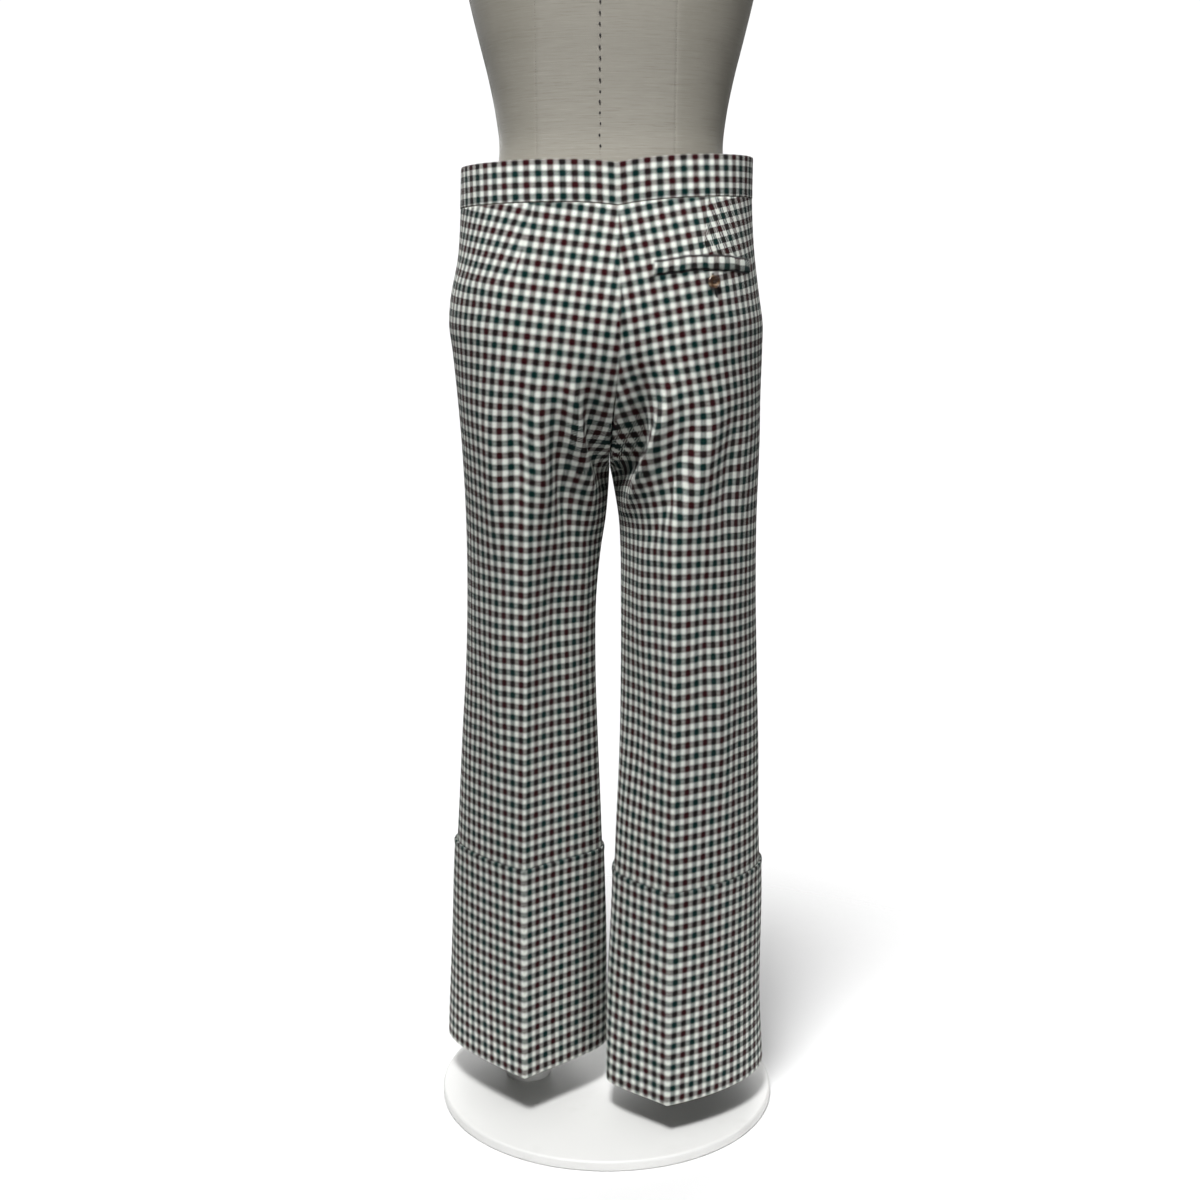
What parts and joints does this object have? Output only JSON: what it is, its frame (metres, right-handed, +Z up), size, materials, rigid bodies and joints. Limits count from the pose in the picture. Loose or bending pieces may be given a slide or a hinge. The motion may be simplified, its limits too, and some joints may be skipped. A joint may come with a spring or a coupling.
{
  "type": "wide-leg trousers on a limbless dress form",
  "caption": "Wide-leg check wool trousers with deep turn-ups, a shaped waistband and a buttoned back welt pocket, standing on a limbless dress form.",
  "frame": {"origin": "on the floor, at the middle of the round base plate", "axes": "+Z up; the trousers' front faces -Y and the wearer's left is +X"},
  "size_m": [0.394, 0.394, 1.5993],
  "materials": {
    "cloth": "soft wool twill in a small gun-club check, dark green and burgundy on ivory",
    "button": "horn, brown with tan and dark streaks",
    "form_cover": "grey-beige linen with fine slubs",
    "cap": "pale turned wood",
    "stand": "white powder coat"
  },
  "bodies": {
    "root": {"back_left": "cloth", "back_right": "cloth", "front_left": "cloth", "front_right": "cloth", "waistband_left": "cloth", "waistband_right": "cloth", "turn_up_left": "cloth", "turn_up_right": "cloth", "pocket_welt": "cloth", "fly_placket": "cloth", "pocket_button": "button", "form_torso": "form_cover", "form_neck_cap": "cap", "stand_flange": "stand", "stand_pole": "stand", "stand_collar": "stand", "stand_base": "stand"}
  },
  "joints": []
}
